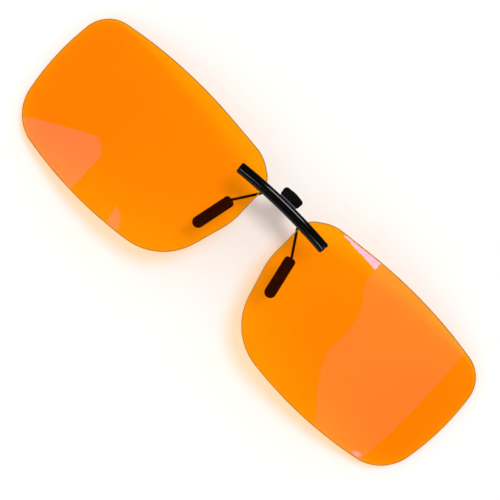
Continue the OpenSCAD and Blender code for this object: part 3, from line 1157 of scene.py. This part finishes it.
@dataclass
class ClipWire:
    """One bent wire: the axle through the bracket's ears and an arm with a loop on each side."""

    radius: float = 0.35
    arm_x: float = 6.15
    arm_bend_r: float = 0.55
    knee: tuple[float, float] = (6.35, 11.8)
    knee_bend_r: float = 1.0
    loop_bend_r: float = 0.5
    loop_r: float = 0.75

    def arm(self) -> list[Triple]:
        """Lays out the right-hand arm.

        Returns:
            X, Z and bend radius of each corner, from the axle to the end of the loop.
        """
        lean = math.radians(PAD_LEAN)
        along = Vector((math.sin(lean), -math.cos(lean)))
        across = Vector((math.cos(lean), math.sin(lean)))
        top, knee = Vector(PAD_TOP), Vector(self.knee)
        slope = (top - knee).normalized()
        loop_in = top + slope * self.loop_r / slope.dot(across)
        loop_end = PAD_LENGTH - PAD_WIDTH / 2 + self.radius / 2
        loop_start = (loop_in - top).dot(along)
        corners = [
            (self.arm_x, BAR_Z, self.arm_bend_r),
            (*knee, self.knee_bend_r),
            (*loop_in, self.knee_bend_r),
        ]
        for sign in (1, -1):
            corners.append((*(top + across * self.loop_r * sign + along * loop_end), self.loop_bend_r))
        corners.append((*(top - across * self.loop_r + along * loop_start), 0.0))
        return corners

    def mesh(self) -> Mesh:
        """Models the wire.

        Returns:
            The closed wire.
        """
        bm = bmesh.new()
        right = self.arm()
        left = [(-x, z, r) for x, z, r in reversed(right)]
        BentLine([*left, *right]).draw(bm, AXLE_Y, self.radius)
        return bm

    def dress(self) -> None:
        """Puts the wire in the place of its node."""
        obj = finish_mesh(self.mesh(), "clip_wire_bent", rod=True)
        settle(obj, "clip_wire", Body.LEVER, (Finishes.WIRE,))


@dataclass
class NosePad:
    """A soft silicone sleeve over one loop of the wire."""

    side: Side
    thickness: float = 1.5
    top_r: float = 0.9
    end_r: float = PAD_WIDTH / 2 - 0.01
    soft: float = 0.66
    soft_steps: int = 6
    steps: int = 10

    def mesh(self) -> Mesh:
        """Models the pad.

        Returns:
            The closed pad, in its own frame: top at the origin, length down -Z.
        """
        half = PAD_WIDTH / 2
        corners = (
            Corner(-half, 0.0, self.top_r),
            Corner(-half, -PAD_LENGTH, self.end_r),
            Corner(half, -PAD_LENGTH, self.end_r),
            Corner(half, 0.0, self.top_r),
        )
        return RoundedOutline(corners, self.steps).plate(self.thickness, self.soft, self.soft_steps)

    def dress(self) -> None:
        """Puts the pad in the place of its node."""
        turn = Matrix.Rotation(math.radians(-PAD_LEAN), 4, "Y")
        place = Matrix.Translation((PAD_TOP[0], AXLE_Y, PAD_TOP[1])) @ turn
        if self.side is Side.LEFT:
            place = Matrix.Scale(-1, 4, ACROSS) @ place
        obj = finish_mesh(self.mesh(), f"{self.side.word}_pad_sleeve", place)
        settle(obj, f"{self.side.word}_pad", Body.LEVER, (Finishes.RUBBER,))


@dataclass
class ClipLever:
    """Everything that swings: the lever with its grip, the wire and the two pads."""

    grip: ThumbGrip = field(default_factory=ThumbGrip)
    wire: ClipWire = field(default_factory=ClipWire)

    def dress(self) -> None:
        """Dresses the swinging pieces."""
        dress_node("thumb_lever", Finishes.DARK_METAL)
        self.grip.dress()
        self.wire.dress()
        for side in Side:
            NosePad(side).dress()


# Studio


@dataclass(frozen=True)
class LightCard:
    """A lit card in front of the glasses, seen only as a reflection in glossy surfaces."""

    name: str
    colour: Triple
    strength: float
    corners: tuple[tuple[float, float], ...]
    y: float = -350.0

    def make(self) -> Object:
        """Builds the card.

        Returns:
            The card's object.
        """
        bm = bmesh.new()
        verts = [bm.verts.new((x, self.y, z)) for x, z in self.corners]
        for a, b in zip(verts, [*verts[1:], verts[0]]):
            bm.edges.new((a, b))
        bmesh.ops.contextual_create(bm, geom=bm.edges[:])
        obj = to_object(bm, self.name)
        material, tree = empty_material(self.name)
        light = {"Color": (*self.colour, 1.0), "Strength": self.strength}
        glow = add_node(tree, "ShaderNodeEmission", light)
        add_node(tree, "ShaderNodeOutputMaterial", {"Surface": glow.outputs[0]})
        obj.data.materials.append(material)
        obj.visible_camera = False
        obj.visible_diffuse = False
        obj.visible_transmission = False
        obj.visible_shadow = False
        return obj


@dataclass
class Studio:
    """Camera, white sheet, lamps and light cards."""

    axis_x: float = 1.59
    axis_z: float = -0.19
    distance: float = 480.0
    bar_middle_y: float = -2.4
    half_view: float = 7.37
    roll: float = 44.25
    sensor: float = 36.0
    clip: tuple[float, float] = (0.01, 10.0)
    sheet_y: float = 13.0
    sheet_half: float = 900.0
    sheet_steps: int = 180
    sheet_near: float = 3.6
    sheet_flat: float = 18.0
    sheet_bend: float = 45.0
    sheet_white: float = 0.9
    sheet_lift: float = 0.08
    # Painted light: extra glow on the paper where it is seen straight through the lenses
    painted_glow_behind_lenses: float = 0.12
    key_strength: float = 1.36
    light_colour: Triple = (1.0, 0.98, 0.955)
    key_softness: float = 19.0
    key_from: Triple = (0.06, -0.94, 0.32)
    ambient: float = 0.7
    room_axis: Triple = (0.0, 0.85, -0.5)
    room_span: tuple[float, float] = (-0.2, 0.5)
    room_light: tuple[float, float] = (0.01, 1.0)

    def camera(self) -> None:
        """Places the camera in front, turned so that the glasses lie across the picture."""
        data = bpy.data.cameras.new("camera")
        data.sensor_width = self.sensor
        data.lens = self.sensor / 2 / math.tan(math.radians(self.half_view))
        data.clip_start, data.clip_end = self.clip
        cam = add_object("camera", data)
        turn = math.radians(self.roll)
        right = Vector((math.cos(turn), 0, math.sin(turn)))
        up = Vector((-math.sin(turn), 0, math.cos(turn)))
        basis = Matrix((right, up, -BACK)).transposed().to_4x4()
        place = Vector((self.axis_x, self.bar_middle_y - self.distance, self.axis_z)) * MM
        cam.matrix_world = Matrix.Translation(place) @ basis
        bpy.context.scene.camera = cam

    def sheet(self) -> None:
        """Hangs the white sheet behind the glasses, nearer at the lenses' ends. Only its front shows."""
        bm = bmesh.new()
        turn = Matrix.Rotation(math.radians(90), 4, "X")
        bmesh.ops.create_grid(
            bm, x_segments=self.sheet_steps, y_segments=1, size=self.sheet_half, matrix=turn
        )
        for vert in bm.verts:
            share = min(1.0, max(0.0, (abs(vert.co.x) - self.sheet_flat) / self.sheet_bend))
            vert.co.y = self.sheet_y - self.sheet_near * share**2 * (3 - 2 * share)
        bm.normal_update()
        if bm.faces[:][0].normal.y > 0:
            bmesh.ops.reverse_faces(bm, faces=bm.faces[:])
        obj = to_object(bm, "white_sheet")
        obj.data.materials.append(self.sheet_material())

    def sheet_material(self) -> Material:
        """White paper that keeps the shadow, evenly brightened where seen, with painted light added where
        it is seen through the lenses.

        Returns:
            The material.
        """
        material, tree = empty_material("white_sheet")
        paper = add_node(tree, "ShaderNodeBsdfDiffuse", {"Color": (self.sheet_white,) * 3 + (1.0,)})
        path = add_node(tree, "ShaderNodeLightPath", {})
        through = straight_through(tree, path)
        seen = math_node(tree, "MAXIMUM", path.outputs["Is Camera Ray"], path.outputs["Is Glossy Ray"])
        seen = math_node(tree, "MAXIMUM", seen, through)
        lift = math_node(tree, "MULTIPLY", seen, self.sheet_lift)
        # Painted light: extra glow on the paper where it is seen straight through the lenses
        lift = math_node(tree, "MULTIPLY_ADD", through, self.painted_glow_behind_lenses, lift)
        glow = add_node(tree, "ShaderNodeEmission", {"Strength": lift})
        both = add_node(tree, "ShaderNodeAddShader", {0: paper.outputs[0], 1: glow.outputs[0]})
        clear = add_node(tree, "ShaderNodeBsdfTransparent", {})
        behind = add_node(tree, "ShaderNodeNewGeometry", {}).outputs["Backfacing"]
        mix = add_node(tree, "ShaderNodeMixShader", {0: behind, 1: both.outputs[0], 2: clear.outputs[0]})
        add_node(tree, "ShaderNodeOutputMaterial", {"Surface": mix.outputs[0]})
        return material

    def world(self) -> None:
        """Lights the room: white where seen, soft on matt surfaces, dim from the front in reflections."""
        world = bpy.data.worlds.new("room")
        bpy.context.scene.world = world
        world.use_nodes = True
        tree = world.node_tree
        tree.nodes.clear()
        path = add_node(tree, "ShaderNodeLightPath", {})
        seen = math_node(tree, "MAXIMUM", path.outputs["Is Camera Ray"], straight_through(tree, path))
        way = add_node(tree, "ShaderNodeTexCoord", {}).outputs["Generated"]
        side = add_node(tree, "ShaderNodeVectorMath", {0: way, 1: self.room_axis})
        side.operation = "DOT_PRODUCT"
        room = ranged(tree, side.outputs["Value"], self.room_span, self.room_light)
        glossy = ranged(tree, path.outputs["Glossy Depth"], (0.0, 1.0), (self.ambient, room))
        strength = ranged(tree, seen, (0.0, 1.0), (glossy, 1.0))
        colour = mixed(tree, seen, self.light_colour, (1.0, 1.0, 1.0))
        glow = add_node(tree, "ShaderNodeBackground", {"Color": colour, "Strength": strength})
        add_node(tree, "ShaderNodeOutputWorld", {"Surface": glow.outputs[0]})

    def lamps(self) -> None:
        """Sets the key lamp above and in front."""
        data = bpy.data.lights.new("key", "SUN")
        data.energy = self.key_strength
        data.color = self.light_colour
        data.angle = math.radians(self.key_softness)
        obj = add_object("key", data)
        obj.rotation_mode = "QUATERNION"
        obj.rotation_quaternion = Vector(self.key_from).to_track_quat("Z", "Y")
        obj.visible_glossy = False
        obj.visible_transmission = False

    def cards(self) -> None:
        """Sets up the cards that the lens coating and the bar throw back."""
        violet = (0.7, 0.03, 1.0)
        white = (1.0, 1.0, 1.0)
        pale = (0.95, 0.73, 1.0)
        shapes = (
            (
                "card_low_left", violet, 1.3,
                ((-208, -35), (-196, -40), (-184, -51), (-187, -172), (-440, -172), (-440, -143)),
            ),
            (
                "card_low_small", violet, 1.6,
                ((-120, -83), (-105, -89), (-96, -99), (-96, -140), (-113, -140), (-116, -98)),
            ),
            (
                "card_right", violet, 0.58,
                (
                    (104, 148), (104, 111), (102, 78), (114, 60), (127, 42), (132, 18), (132, -23),
                    (142, -47), (159, -71), (177, -90), (204, -117), (240, -152), (298, -152), (298, 148),
                ),
            ),
            ("card_top_bright", pale, 17.0, ((44, 95.5), (103, 95.5), (106, 180), (44, 180))),
            ("card_low_bright", pale, 14.0, ((278, -102), (293, -99), (300, -152), (278, -152))),
            ("card_over_bar", white, 8.0, ((-27, 310), (25, 310), (30, 560), (-34, 560))),
            ("card_left_tip", white, 5.0, ((-15, -165), (-9, -165), (-9, -88), (-15, -88))),
            ("card_right_tip", white, 14.0, ((10, -175), (13.5, -175), (13.5, -80), (10, -80))),
        )
        for name, colour, strength, corners in shapes:
            LightCard(name, colour, strength, corners).make()

    def build(self) -> None:
        """Sets the whole studio."""
        bpy.context.scene.view_settings.view_transform = "Standard"
        self.camera()
        self.sheet()
        self.world()
        self.lamps()
        self.cards()


def main() -> None:
    """Builds the studio and every sub-assembly in order."""
    logging.basicConfig(level=logging.INFO, format="%(message)s")
    Studio().build()
    BridgeBar().dress()
    for side in Side:
        Lens(side).dress()
        LensFixings(side).dress()
    HingeHardware().dress()
    ClipLever().dress()


if __name__ == "__main__":
    main()
